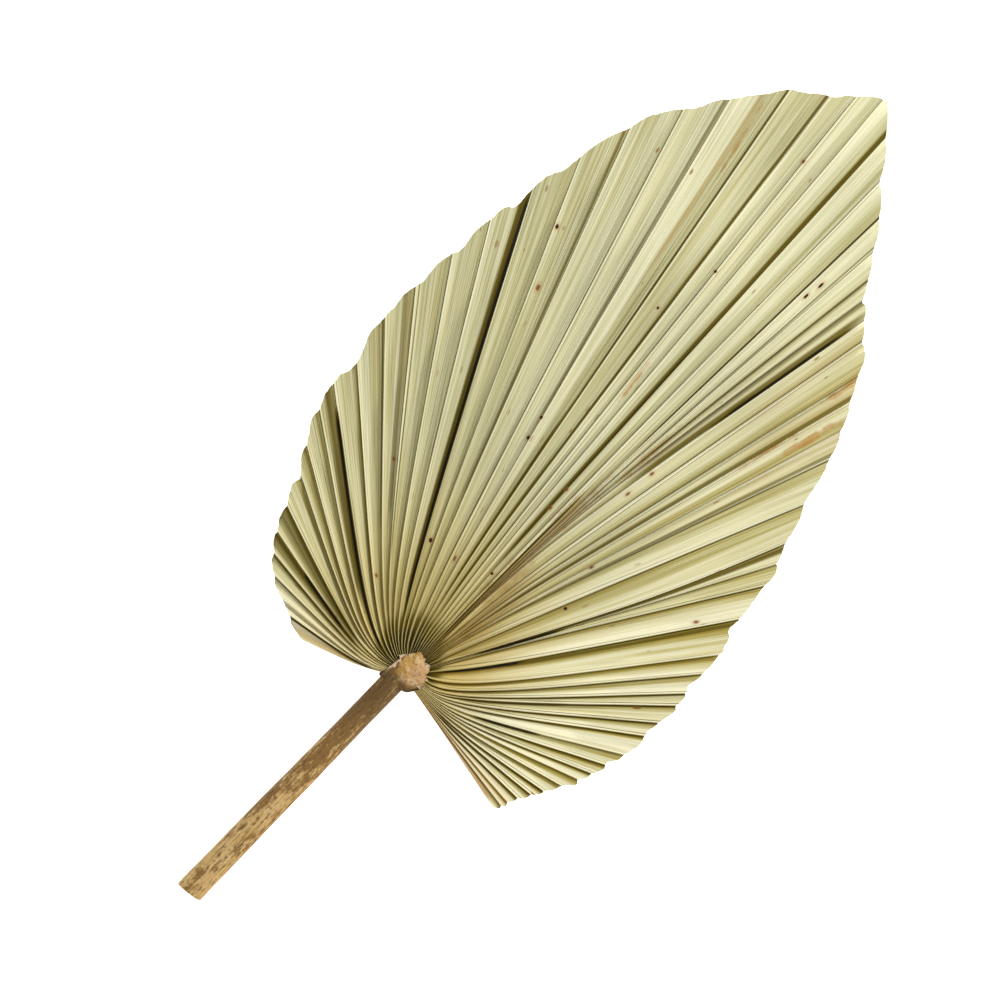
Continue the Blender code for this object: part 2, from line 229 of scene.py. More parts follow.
# Painted shade deep between the ribs: how far from the hub the valleys are painted nearly black, fully
# so over a first share of that distance, and less towards the sides of the valley
ROOT_REACH = [(-116, 2 * MM), (-98, 5 * MM), (-85, 15 * MM), (-60, 24 * MM), (-20, 32 * MM),
              (5, 28 * MM), (25, 20 * MM), (45, 18 * MM), (60, 12 * MM), (108, 6 * MM)]
ROOT_DARKNESS = 0.95
ROOT_FULL_SHARE = 0.35
ROOT_SIDES = (0.3, 0.85)

# Tissue close to the hub is a warmer yellow: bearing, how much, and how far out. In the two lobes
# beside the stalk the darker tissue is painted browner, most of all where it carries painted shade.
WARMTH = [(-116, 0.55, 80 * MM), (-80, 0.75, 90 * MM), (-40, 0.95, 110 * MM),
          (0, 1.0, 125 * MM), (25, 1.0, 105 * MM), (45, 1.0, 75 * MM),
          (60, 0.9, 55 * MM), (108, 0.9, 50 * MM)]
WARM_NEAR = 12 * MM
WARM_FADE = 1.3
LOBE_SHADE_BROWNING = [(-116, 0.8), (-95, 0.8), (-70, 0.6), (-50, 0.2), (0, 0.0), (20, 0.4), (40, 0.9),
                 (60, 1.1), (108, 1.4)]

# Marked ribs: bearing, where the mark starts and ends as shares of the way from hub to edge, half
# width in millimetres, and strength. A shaded fold is painted shade along a fold: olive brown at a
# strength of a half, black at 1, and black over more of its width above that.
SHADED_FOLDS = [(-107.8, 0.3, 1.1, 0.9, 0.75), (-97.0, 0.3, 1.1, 0.8, 0.4),
              (-91.3, 0.4, 1.1, 0.8, 0.5), (-88.0, 0.3, 1.1, 3.2, 0.25),
              (-85.6, 0.4, 0.75, 0.9, 1.1), (-86.2, 0.3, 1.1, 1.7, 0.5),
              (-81.0, 0.3, 1.1, 3.4, 0.3), (-78.8, 0.3, 1.1, 1.2, 0.52),
              (-69.2, 0.4, 1.1, 0.4, 0.4), (-58.0, 0.3, 1.1, 2.6, 0.42),
              (-56.4, 0.1, 0.9, 1.1, 1.1), (-45.6, 0.4, 1.1, 0.8, 0.45),
              (-41.8, 0.4, 1.1, 1.6, 0.33), (-39.7, 0.3, 1.1, 0.5, 0.45),
              (-27.6, 0.15, 1.1, 2.3, 0.62), (-27.1, 0.12, 1.0, 1.35, 1.1),
              (-19.4, 0.3, 1.1, 1.3, 0.36), (-12.1, 0.4, 1.1, 1.2, 0.33),
              (-8.2, 0.12, 0.42, 1.1, 0.6), (-8.0, 0.36, 1.1, 0.7, 0.5),
              (-5.1, 0.15, 1.1, 0.8, 0.5), (-5.2, 0.1, 0.36, 0.9, 0.5),
              (0.5, 0.2, 1.1, 1.6, 0.6), (0.6, 0.3, 0.62, 0.7, 0.8),
              (3.9, 0.06, 0.36, 0.7, 0.85),
              (4.95, 0.5, 1.1, 0.5, 0.85), (6.6, 0.35, 1.1, 0.6, 0.4),
              (8.6, 0.5, 1.1, 1.2, 0.42), (9.9, 0.5, 1.1, 1.6, 0.38),
              (11.0, 0.5, 1.0, 1.6, 0.46), (11.3, 0.68, 0.96, 0.9, 1.0),
              (17.3, 0.2, 1.1, 1.3, 0.42), (22.0, 0.2, 1.1, 1.5, 0.38),
              (31.2, 0.2, 1.1, 1.8, 0.46), (33.0, 0.2, 0.4, 1.6, 1.3),
              (40.9, 0.08, 0.34, 0.8, 1.3), (41.2, 0.3, 1.1, 1.2, 0.42),
              (50.2, 0.1, 0.32, 0.6, 0.8), (57.2, 0.2, 0.6, 0.8, 0.7),
              (71.3, 0.35, 0.62, 0.8, 1.0), (95.5, 0.3, 0.8, 0.7, 0.55)]
STAINED_RIBS = [(5.2, 0.05, 0.38, 2.2, 1.0), (7.6, 0.05, 0.36, 3.0, 0.8),
                (10.5, 0.05, 0.32, 3.0, 0.65), (14, 0.05, 0.28, 3, 0.6),
                (18, 0.05, 0.25, 3, 0.55), (24, 0.05, 0.22, 3, 0.4)]
ORANGE_RIBS = [(107.3, 0.05, 0.95, 1.5, 0.9), (104.5, 0.05, 1.1, 4, 0.3),
               (-113, 0.05, 1.1, 2.6, 0.5),
               (101, 0.15, 0.7, 0.8, 0.45), (9.5, 0.3, 0.6, 1.2, 0.35),
               (-9.6, 0.7, 1.1, 1.0, 0.55), (13, 0.75, 1.1, 5, 0.22),
               (17, 0.75, 1.1, 5, 0.26), (20.5, 0.75, 1.1, 4, 0.22),
               (92, 0.1, 0.5, 1.0, 0.35)]
FAR_OFF = 3
FADE_IN = 0.06
FADE_OUT = 0.05
# Marks and the painted crease shade are narrower at the hub: they widen between these shares of the way out
RIB_MARK_WIDENING = (-0.3, 0.5)
CREASE_SHADE_WIDENING = (-0.3, 0.6)

# Dry spots on the blade: picture point, length and width in millimetres, and whether they are black
SPOTS = [(431, 540, 2.8, 1.9, True), (455, 558, 3.2, 1.4, False),
         (492, 573, 1.6, 1.4, True), (541, 418, 1.8, 1.4, True),
         (557, 227, 2.6, 1.8, True), (538, 288, 3.6, 2.2, False),
         (528, 438, 2.2, 1.5, True), (566, 490, 2.0, 1.4, False),
         (550, 508, 2.2, 1.4, False), (651, 474, 2.6, 1.4, False),
         (627, 494, 3.0, 1.4, False), (591, 567, 2.4, 1.3, False),
         (565, 608, 2.0, 1.7, True), (696, 622, 2.8, 1.4, False),
         (802, 163, 2.4, 1.7, False), (714, 273, 1.8, 1.4, True),
         (657, 309, 1.8, 1.4, True), (394, 459, 2.4, 1.4, False),
         (377, 575, 2.2, 1.2, False), (820, 286, 4.0, 1.4, True),
         (805, 297, 3.4, 1.3, True)]

# Brown stains and orange burns: picture point, length and width in millimetres
STAINS = [(572, 512, 60, 9), (506, 580, 50, 13), (640, 462, 50, 4),
          (470, 628, 36, 11)]
BURNS = [(812, 438, 46, 5), (848, 386, 36, 4.5), (632, 384, 30, 2.6),
         (740, 140, 44, 2.4), (768, 450, 44, 3.4)]

# Width and length of the streaks in the blade and the stalk
BLADE_STREAKS = (2.6 * MM, 90 * MM)
BLADE_VEINS = (1.0 * MM, 60 * MM)
STALK_MOTTLE = (1.3 * MM, 6.5 * MM)
STALK_FIBRES = (0.8 * MM, 14 * MM)
STALK_PATCHES = (7 * MM, 34 * MM)
FINE_STREAK_SHARE = 3.1

# Colours of the dry leaf
DEEP_OLIVE = (0.14, 0.108, 0.009, 1)
OLIVE_SHADE = (0.31, 0.255, 0.055, 1)
SAGE = (0.475, 0.455, 0.23, 1)
SAGE_CREAM = (0.65, 0.64, 0.41, 1)
CREAM = (0.88, 0.85, 0.61, 1)
STRAW = (0.80, 0.66, 0.36, 1)
HUB_WARMTH = (0.85, 0.71, 0.41, 1)
LOBE_SHADE_BROWN = (0.95, 0.81, 0.40, 1)
VEIN_OLIVE = (0.20, 0.16, 0.05, 1)
BROWN_STAIN = (0.34, 0.185, 0.03, 1)
ORANGE_BROWN = (0.43, 0.21, 0.045, 1)
FOLD_SHADE_BROWN = (0.13, 0.095, 0.007, 1)
FOLD_SHADE_BLACK = (0.016, 0.013, 0.010, 1)
SPOT_BROWN = (0.16, 0.06, 0.018, 1)
SPECK_BROWN = (0.26, 0.12, 0.03, 1)
SPOT_BLACK = (0.03, 0.014, 0.010, 1)
HALO_ORANGE = (0.48, 0.24, 0.09, 1)

# Colours of the stalk, the hub and its scraps
STALK_TAN = (0.62, 0.39, 0.13, 1)
STALK_PALE = (0.78, 0.56, 0.26, 1)
STALK_BROWN = (0.25, 0.125, 0.03, 1)
STALK_DARK = (0.09, 0.055, 0.02, 1)
STALK_ORANGE = (0.60, 0.33, 0.11, 1)
HUB_TAN = (0.55, 0.32, 0.09, 1)
HUB_PINK = (0.56, 0.34, 0.16, 1)
HUB_CREAM = (0.72, 0.52, 0.28, 1)
SCRAP_PALE = (0.82, 0.66, 0.45, 1)


def through(points, place):
    """Reads a smooth curve through (place, value, ...) points, as a list of values."""
    last = len(points) - 1
    right = 1
    while right < last and points[right][0] < place:
        right += 1
    left = right - 1
    before, after = max(left - 1, 0), min(right + 1, last)
    step = points[right][0] - points[left][0]
    t = (place - points[left][0]) / step
    values = []
    for low2, low, high, high2 in zip(points[before][1:], points[left][1:],
                                      points[right][1:], points[after][1:]):
        slope_low = (high - low2) / (points[right][0] - points[before][0]) * step
        slope_high = (high2 - low) / (points[after][0] - points[left][0]) * step
        values.append((2 * t**3 - 3 * t**2 + 1) * low + (t**3 - 2 * t**2 + t) * slope_low
                      + (3 * t**2 - 2 * t**3) * high + (t**3 - t**2) * slope_high)
    return values


def smooth_step(value, low, high):
    """0 below low, 1 above high, and an even ease between."""
    share = min(max((value - low) / (high - low), 0), 1)
    return share * share * (3 - 2 * share)


def from_picture(x, y):
    """Plan position, from the hub, of a point of the picture."""
    right = (x - PICTURE_HUB.x) * METRES_PER_PIXEL
    up = (PICTURE_HUB.y - y) * METRES_PER_PIXEL
    return Matrix.Rotation(LEAF_TURN, 2) @ Vector((right, up))


STALK_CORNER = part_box("leaf_stalk")[0]
HUB = Vector((STALK_CORNER.x + HUB_TO_BOX_LEFT, STALK_CORNER.y + STALK_LENGTH, 0))


# Camera, lamps and floor

def make_camera():
    """Looks straight down at the middle of the picture, in which the leaf lies turned."""
    camera = bpy.data.cameras.new("camera")
    camera.sensor_width = 36
    camera.lens = camera.sensor_width * CAMERA_HEIGHT / (PICTURE_SIZE * METRES_PER_PIXEL)
    camera.clip_start = 0.05
    camera.clip_end = 20
    stand = bpy.data.objects.new("camera", camera)
    middle = HUB.to_2d() + from_picture(PICTURE_SIZE / 2, PICTURE_SIZE / 2)
    stand.location = (middle.x, middle.y, CAMERA_HEIGHT)
    stand.rotation_euler = (0, 0, LEAF_TURN)
    bpy.context.scene.collection.objects.link(stand)
    bpy.context.scene.camera = stand


def make_lamp():
    """The key lamp: an area lamp that looks at the middle of the leaf from its bearing and height."""
    lamp = bpy.data.lights.new("key", "AREA")
    lamp.size = KEY_SIZE
    lamp.energy = KEY_POWER
    lamp.color = KEY_COLOUR
    stand = bpy.data.objects.new("key", lamp)
    turn, climb = math.radians(KEY_BEARING), math.radians(KEY_ELEVATION)
    away = Vector((math.sin(turn) * math.cos(climb), math.cos(turn) * math.cos(climb), math.sin(climb)))
    stand.location = away * KEY_DISTANCE
    stand.rotation_euler = away.to_track_quat("Z", "Y").to_euler()
    bpy.context.scene.collection.objects.link(stand)


def make_world():
    """Even white light from all round."""
    world = bpy.data.worlds.new("studio")
    world.use_nodes = True
    background = world.node_tree.nodes["Background"]
    background.inputs["Color"].default_value = (1, 1, 1, 1)
    background.inputs["Strength"].default_value = WORLD_STRENGTH
    bpy.context.scene.world = world


def make_floor():
    """A plain white surface under the leaf."""
    bm = bmesh.new()
    bmesh.ops.create_grid(bm, x_segments=1, y_segments=1, size=FLOOR_HALF_SIZE)
    mesh = bpy.data.meshes.new("floor")
    bm.to_mesh(mesh)
    bm.free()
    finish = bpy.data.materials.new("floor_finish")
    finish.use_nodes = True
    shader = finish.node_tree.nodes["Principled BSDF"]
    shader.inputs["Base Color"].default_value = (0.95, 0.95, 0.95, 1)
    shader.inputs["Roughness"].default_value = 0.9
    shader.inputs["Emission Color"].default_value = (1, 1, 1, 1)
    shader.inputs["Emission Strength"].default_value = 1.0
    mesh.materials.append(finish)
    floor = bpy.data.objects.new("floor", mesh)
    floor.location.z = -FLOOR_DROP
    bpy.context.scene.collection.objects.link(floor)


# Material nodes

def add(tree, kind, inputs, **settings):
    """Adds a node: settings are its own, and each input is a value or another node's output."""
    node = tree.nodes.new(kind)
    for name, value in settings.items():
        setattr(node, name, value)
    for name, value in inputs.items():
        if isinstance(value, bpy.types.NodeSocket):
            tree.links.new(value, node.inputs[name])
        else:
            node.inputs[name].default_value = value
    return node


def start_material(name):
    """A new material, its nodes, its shader, and the place of a point in the piece's own frame."""
    material = bpy.data.materials.new(name)
    material.use_nodes = True
    tree = material.node_tree
    place = add(tree, "ShaderNodeTexCoord", {}).outputs["Object"]
    return material, tree, tree.nodes["Principled BSDF"], place


def maths(tree, operation, first, second=0.0):
    """One sum of two values."""
    return add(tree, "ShaderNodeMath", {0: first, 1: second}, operation=operation).outputs[0]


def product(tree, *values):
    """All the values multiplied."""
    total = values[0]
    for value in values[1:]:
        total = maths(tree, "MULTIPLY", total, value)
    return total


def spread(tree, value, low, high, to_low=0.0, to_high=1.0):
    """Stretches a value from one range to another with an even ease, and stops at its ends."""
    return add(tree, "ShaderNodeMapRange",
               {"Value": value, "From Min": low, "From Max": high, "To Min": to_low, "To Max": to_high},
               interpolation_type="SMOOTHSTEP").outputs["Result"]


def blend(tree, share, first, second, way="MIX"):
    """Mixes two colours."""
    return add(tree, "ShaderNodeMix", {0: share, 6: first, 7: second},
               data_type="RGBA", blend_type=way).outputs[2]


def cloud(tree, vector, scale, detail=3.0, roughness=0.55):
    """Soft noise, from 0 to 1."""
    return add(tree, "ShaderNodeTexNoise",
               {"Vector": vector, "Scale": scale, "Detail": detail, "Roughness": roughness}).outputs["Fac"]


def stored(tree, name):
    """The three values that a piece keeps on its points under a name."""
    vector = add(tree, "ShaderNodeAttribute", {}, attribute_name=name).outputs["Vector"]
    parts = add(tree, "ShaderNodeSeparateXYZ", {"Vector": vector}).outputs
    return vector, parts["X"], parts["Y"], parts["Z"]


def ramp(tree, value, stops):
    """Colours along a value: each stop is a place and a colour."""
    node = add(tree, "ShaderNodeValToRGB", {"Fac": value})
    marks = node.color_ramp.elements
    while len(marks) < len(stops):
        marks.new(0.5)
    for mark, (place, colour) in zip(marks, stops):
        mark.position = place
        mark.color = colour
    return node.outputs["Color"]


def make_streak_group():
    """Streaks that run along a fibre. Fibre holds metres across it, metres along it, and a shift."""
    group = bpy.data.node_groups.new("fibre_streaks", "ShaderNodeTree")
    group.interface.new_socket("Fibre", in_out="INPUT", socket_type="NodeSocketVector")
    group.interface.new_socket("Width", in_out="INPUT", socket_type="NodeSocketFloat")
    group.interface.new_socket("Length", in_out="INPUT", socket_type="NodeSocketFloat")
    group.interface.new_socket("Broad", in_out="OUTPUT", socket_type="NodeSocketFloat")
    group.interface.new_socket("Fine", in_out="OUTPUT", socket_type="NodeSocketFloat")
    given = group.nodes.new("NodeGroupInput").outputs
    result = group.nodes.new("NodeGroupOutput").inputs
    parts = add(group, "ShaderNodeSeparateXYZ", {"Vector": given["Fibre"]}).outputs
    across = maths(group, "DIVIDE", parts["X"], given["Width"])
    along = maths(group, "DIVIDE", parts["Y"], given["Length"])
    broad = add(group, "ShaderNodeCombineXYZ", {"X": across, "Y": along, "Z": parts["Z"]}).outputs[0]
    fine_across = product(group, across, FINE_STREAK_SHARE)
    fine = add(group, "ShaderNodeCombineXYZ", {"X": fine_across, "Y": along, "Z": parts["Z"]}).outputs[0]
    group.links.new(cloud(group, broad, 1.0, 2.0), result["Broad"])
    group.links.new(cloud(group, fine, 1.0, 2.0), result["Fine"])
    return group


def streak(tree, streak_group, fibre, size):
    """The streaks of one width and length in a material."""
    return add(tree, "ShaderNodeGroup", {"Fibre": fibre, "Width": size[0], "Length": size[1]},
               node_tree=streak_group).outputs


def make_patch_group():
    """A patch with a ragged edge. Along and Across are its directions, divided by its half sizes."""
    group = bpy.data.node_groups.new("patch", "ShaderNodeTree")
    for name in ("Place", "Middle", "Along", "Across"):
        group.interface.new_socket(name, in_out="INPUT", socket_type="NodeSocketVector")
    for name in ("Softness", "Ragged"):
        group.interface.new_socket(name, in_out="INPUT", socket_type="NodeSocketFloat")
    for name in ("Mask", "Halo"):
        group.interface.new_socket(name, in_out="OUTPUT", socket_type="NodeSocketFloat")
    given = group.nodes.new("NodeGroupInput").outputs
    result = group.nodes.new("NodeGroupOutput").inputs
    away = add(group, "ShaderNodeVectorMath", {0: given["Place"], 1: given["Middle"]},
               operation="SUBTRACT").outputs["Vector"]
    along, across = [add(group, "ShaderNodeVectorMath", {0: away, 1: given[name]},
                         operation="DOT_PRODUCT").outputs["Value"] for name in ("Along", "Across")]
    share = add(group, "ShaderNodeCombineXYZ", {"X": along, "Y": across}).outputs[0]
    distance = add(group, "ShaderNodeVectorMath", {0: share}, operation="LENGTH").outputs["Value"]
    rough_distance = maths(group, "ADD", distance, given["Ragged"])
    start = maths(group, "SUBTRACT", 1.0, given["Softness"])
    group.links.new(spread(group, rough_distance, start, 1.0, 1.0, 0.0), result["Mask"])
    group.links.new(spread(group, rough_distance, start, 2.2, 1.0, 0.0), result["Halo"])
    return group


def patches(tree, group, place, ragged, shapes, softness):
    """The masks and halos of several patches, each heading away from the hub."""
    masks, halos = [], []
    for x, y, length, width in shapes:
        spot = from_picture(x, y)
        heading = spot.normalized()
        side = Vector((-heading.y, heading.x))
        node = add(tree, "ShaderNodeGroup", {}, node_tree=group)
        tree.links.new(place, node.inputs["Place"])
        tree.links.new(ragged, node.inputs["Ragged"])
        node.inputs["Middle"].default_value = HUB + spot.to_3d()
        node.inputs["Along"].default_value = (heading / (length * MM / 2)).to_3d()
        node.inputs["Across"].default_value = (side / (width * MM / 2)).to_3d()
        node.inputs["Softness"].default_value = softness
        masks.append(node.outputs["Mask"])
        halos.append(node.outputs["Halo"])
    return [most(tree, masks), most(tree, halos)]


def most(tree, values):
    """The highest of several values."""
    highest = values[0]
    for value in values[1:]:
        highest = maths(tree, "MAXIMUM", highest, value)
    return highest


def line(tree, gap, offset, half_width):
    """1 on a line that lies at an offset from the nearest ridge, and 0 away from it."""
    off = maths(tree, "ABSOLUTE", maths(tree, "SUBTRACT", gap, offset))
    return spread(tree, maths(tree, "DIVIDE", off, half_width), 0.2, 1.6, 1.0, 0.0)


def make_blade_finish(streak_group, patch_group):
    """Dry leaf tissue: sage to cream fibres, painted light and shade on the pleats, olive to black painted
    shade in the folds, brown stains and spots.
    """
    material, tree, shader, place = start_material("blade_finish")
    fibre = stored(tree, "fibre")[0]
    _, facet_light, valley_shade, dark_side = stored(tree, "tone")
    _, orange_rib, stained_rib, warmth = stored(tree, "rim")
    _, ridge_gap, crease_shade_half, ridge_line_strength = stored(tree, "crease_shade")
    _, fold_shade_off, fold_shade_strength, shade_browning = stored(tree, "fold_shade")
    streaks, veins = [streak(tree, streak_group, fibre, size) for size in (BLADE_STREAKS, BLADE_VEINS)]

    # Fibres, with the painted light and shade of the facets
    broad = spread(tree, streaks["Broad"], 0.25, 0.75, -0.12, 0.12)
    fine = spread(tree, veins["Fine"], 0.25, 0.75, -0.1, 0.1)
    lit_side = maths(tree, "SUBTRACT", 1.0, dark_side)
    # Gleam: a painted highlight beside each ridge on its lit side
    gleam = product(tree, line(tree, ridge_gap, GLEAM_OFFSET, GLEAM_HALF_WIDTH), lit_side, GLEAM_STRENGTH)
    shade = maths(tree, "ADD", maths(tree, "ADD", facet_light, gleam), maths(tree, "ADD", broad, fine))
    # The ramp's dark end colours the painted shade on facets turned away from the lamp.
    base = ramp(tree, shade, [(0.0, DEEP_OLIVE), (0.25, OLIVE_SHADE), (0.5, SAGE), (0.72, SAGE_CREAM),
                              (1.0, CREAM)])
    # Painted shade in the lobes is browner: the darker the tissue, mostly from painted shade, the browner.
    browner_shade = product(tree, spread(tree, shade, 0.4, 1.0, 1.0, 0.0), shade_browning)
    browned = blend(tree, browner_shade, base, LOBE_SHADE_BROWN, "MULTIPLY")
    straw_streaks = spread(tree, streaks["Fine"], 0.5, 0.75, 0.0, 0.38)
    streaked = blend(tree, straw_streaks, browned, STRAW)
    warmed = blend(tree, warmth, streaked, HUB_WARMTH, "MULTIPLY")
    vein_lines = spread(tree, veins["Broad"], 0.62, 0.74, 0.0, 0.3)
    lined = blend(tree, vein_lines, warmed, VEIN_OLIVE)

    # Stains
    cloudiness = cloud(tree, place, 160.0, 4.0, 0.65)
    ragged = product(tree, maths(tree, "SUBTRACT", cloudiness, 0.5), 1.8)
    stain = patches(tree, patch_group, place, ragged, STAINS, 0.95)[0]
    stain_share = product(tree, most(tree, [product(tree, stain, 0.7), stained_rib]),
                          spread(tree, streaks["Fine"], 0.3, 0.65, 0.62, 1.0))
    stained = blend(tree, stain_share, lined, BROWN_STAIN)
    burn = patches(tree, patch_group, place, ragged, BURNS, 0.9)[0]
    burn_share = product(tree, maths(tree, "MAXIMUM", burn, orange_rib),
                         spread(tree, veins["Broad"], 0.3, 0.6, 0.45, 1.0))
    burnt = blend(tree, burn_share, stained, ORANGE_BROWN)

    # Folds: painted shade in the creases, the shaded folds and the deep valleys by the hub, and a thin line
    # Painted shade in the crease on each ridge's dark side
    crease_shade = product(tree, line(tree, ridge_gap, CREASE_SHADE_OFFSET, crease_shade_half), dark_side, ridge_line_strength)
    thin_line = product(tree, line(tree, ridge_gap, LINE_OFFSET, LINE_HALF_WIDTH), lit_side,
                        ridge_line_strength, LINE_STRENGTH)
    fold_shade = product(tree, spread(tree, fold_shade_off, 0.25, 1.6, 1.0, 0.0), fold_shade_strength)
    shade_and_lines = most(tree, [crease_shade, thin_line, fold_shade, valley_shade])
    fold_shaded = blend(tree, spread(tree, shade_and_lines, 0.0, 0.55), burnt, FOLD_SHADE_BROWN)
    fold_shaded_black = blend(tree, spread(tree, shade_and_lines, 0.5, 1.0), fold_shaded, FOLD_SHADE_BLACK)

    # Spots
    spot_ragged = product(tree, ragged, 0.35)
    brown_spot, brown_halo = patches(tree, patch_group, place, spot_ragged,
                                     [spot[:4] for spot in SPOTS if not spot[4]], 0.5)
    black_spot, black_halo = patches(tree, patch_group, place, spot_ragged,
                                     [spot[:4] for spot in SPOTS if spot[4]], 0.4)
    stretched = add(tree, "ShaderNodeVectorMath", {0: fibre, 1: (1, 0.5, 0)},
                    operation="MULTIPLY").outputs["Vector"]
    cells = add(tree, "ShaderNodeTexVoronoi", {"Vector": stretched, "Scale": 80.0},
                voronoi_dimensions="2D").outputs
    draws = add(tree, "ShaderNodeSeparateColor", {"Color": cells["Color"]}).outputs
    size = spread(tree, draws["Red"], 0.8, 1.0, 0.0, 0.09)
    rough_size = maths(tree, "ADD", cells["Distance"], product(tree, ragged, 0.06))
    speck = spread(tree, maths(tree, "SUBTRACT", rough_size, size), -0.04, 0.0, 1.0, 0.0)
    speck_share = product(tree, speck, spread(tree, draws["Green"], 0.0, 1.0, 0.35, 0.85))
    haloed = blend(tree, product(tree, maths(tree, "MAXIMUM", brown_halo, black_halo), 0.5),
                   fold_shaded_black, HALO_ORANGE)
    specked = blend(tree, speck_share, haloed, SPECK_BROWN)
    brown_spotted = blend(tree, product(tree, brown_spot, 0.85), specked, SPOT_BROWN)
    spotted = blend(tree, black_spot, brown_spotted, SPOT_BLACK)
    tree.links.new(spotted, shader.inputs["Base Color"])

    rough = spread(tree, streaks["Fine"], 0.2, 0.8, 0.5, 0.72)
    tree.links.new(rough, shader.inputs["Roughness"])
    bead = spread(tree, ridge_gap, 0.0, 0.6 * MM, 0.4, 0.0)
    relief = maths(tree, "ADD", bead, maths(tree, "ADD", product(tree, streaks["Broad"], 0.6),
                                            product(tree, veins["Broad"], 0.45)))
    bump = add(tree, "ShaderNodeBump", {"Height": relief, "Strength": 0.75, "Distance": 1.3 * MM})
    tree.links.new(bump.outputs["Normal"], shader.inputs["Normal"])
    shader.inputs["Specular IOR Level"].default_value = 0.07
    return material


def make_stalk_finish(streak_group):
    """Dry stalk: tan fibre with brown mottling, darker towards the hub, and a pink tan hub."""
    material, tree, shader, place = start_material("stalk_finish")
    fibre, _, along, _ = stored(tree, "fibre")
    _, hub_share, right_side, cut_end = stored(tree, "tone")
    mottle, fibres, patchy = [streak(tree, streak_group, fibre, size)
                              for size in (STALK_MOTTLE, STALK_FIBRES, STALK_PATCHES)]

    base = blend(tree, spread(tree, fibres["Broad"], 0.3, 0.7), STALK_TAN, STALK_PALE)
    orange_side = product(tree, right_side, maths(tree, "SUBTRACT", 0.6, product(tree, hub_share, 0.6)))
    edged = blend(tree, orange_side, base, STALK_ORANGE)
    grit = cloud(tree, place, 650.0, 4.0, 0.8)
    patch = maths(tree, "ADD", product(tree, patchy["Broad"], 0.45),
                  maths(tree, "ADD", product(tree, mottle["Broad"], 0.45), product(tree, grit, 0.3)))
    brown_line = spread(tree, along, 10 * MM, 105 * MM, 0.63, 0.53)
    browned_share = spread(tree, maths(tree, "SUBTRACT", patch, brown_line), -0.05, 0.06, 0.0, 0.9)
    browned = blend(tree, browned_share, edged, STALK_BROWN)
    fleck = spread(tree, maths(tree, "ADD", product(tree, mottle["Fine"], 0.6), product(tree, grit, 0.4)),
                   0.52, 0.62, 0.0, 0.7)
    flecked = blend(tree, fleck, browned, STALK_DARK)
    upper = spread(tree, along, 80 * MM, 122 * MM, 0.0, 0.75)
    darkened = blend(tree, product(tree, upper, spread(tree, fibres["Fine"], 0.3, 0.6, 0.5, 1.0)),
                     flecked, STALK_DARK)
    patches_on_hub = cloud(tree, place, 380.0, 3.0, 0.6)
    specks_on_hub = cloud(tree, place, 900.0, 3.0, 0.65)
    hub_base = blend(tree, product(tree, hub_share, right_side), HUB_TAN, HUB_PINK)
    hub_patched = blend(tree, spread(tree, patches_on_hub, 0.48, 0.66, 0.0, 0.75), hub_base, HUB_CREAM)
    hub_colour = blend(tree, spread(tree, specks_on_hub, 0.52, 0.68, 0.0, 0.8), hub_patched, STALK_BROWN)
    whole = blend(tree, hub_share, darkened, hub_colour)
    ended = blend(tree, product(tree, cut_end, 0.8), whole, STALK_PALE)
    tree.links.new(ended, shader.inputs["Base Color"])

    tree.links.new(spread(tree, fibres["Fine"], 0.2, 0.8, 0.55, 0.8), shader.inputs["Roughness"])
    lumps = product(tree, maths(tree, "ADD", patches_on_hub, specks_on_hub), hub_share, 0.8)
    grain = maths(tree, "ADD", product(tree, fibres["Broad"], 0.5), product(tree, grit, 0.8))
    relief = maths(tree, "ADD", grain, lumps)
    bump = add(tree, "ShaderNodeBump", {"Height": relief, "Strength": 0.7, "Distance": 0.8 * MM})
    tree.links.new(bump.outputs["Normal"], shader.inputs["Normal"])
    shader.inputs["Specular IOR Level"].default_value = 0.25
    return material


def make_scrap_finish():
    """Papery torn sheath: pale tan with brown flecks."""
    material, tree, shader, place = start_material("scrap_finish")
    flecks = cloud(tree, place, 700.0, 4.0, 0.6)
    colour = blend(tree, spread(tree, flecks, 0.45, 0.65, 0.0, 0.8), SCRAP_PALE, STALK_BROWN)
    tree.links.new(colour, shader.inputs["Base Color"])
    shader.inputs["Roughness"].default_value = 0.7
    bump = add(tree, "ShaderNodeBump", {"Height": flecks, "Strength": 0.4, "Distance": 0.4 * MM})
    tree.links.new(bump.outputs["Normal"], shader.inputs["Normal"])
    return material


# Shapes

def make_piece(name, bm, finish, sharp_degrees, ridges=()):
    """Turns a finished bmesh, measured from the hub, into a piece of the leaf with sharp ridges."""
    bm.transform(Matrix.Translation(HUB))
    for face in bm.faces:
        face.smooth = True
    for edge in bm.edges:
        edge.smooth = edge.calc_face_angle(0) < math.radians(sharp_degrees)
    for edge in ridges:
        edge.smooth = False
    mesh = bpy.data.meshes.new(name)
    bm.to_mesh(mesh)
    bm.free()
    mesh.materials.append(finish)
    piece = bpy.data.objects.new(name, mesh)
    bpy.context.scene.collection.objects.link(piece)
    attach(piece, "root")
    return piece


def reach(bearing):
    """Distance from the hub to the blade's outline, without its scallops."""
    side = LEFT_REACH if bearing < TIP_BEARING else RIGHT_REACH
    nicks = sum(depth * MM * math.exp(-((bearing - middle) / half_width)**2)
                for middle, depth, half_width in EDGE_NICKS)
    return through(side, bearing)[0] + nicks


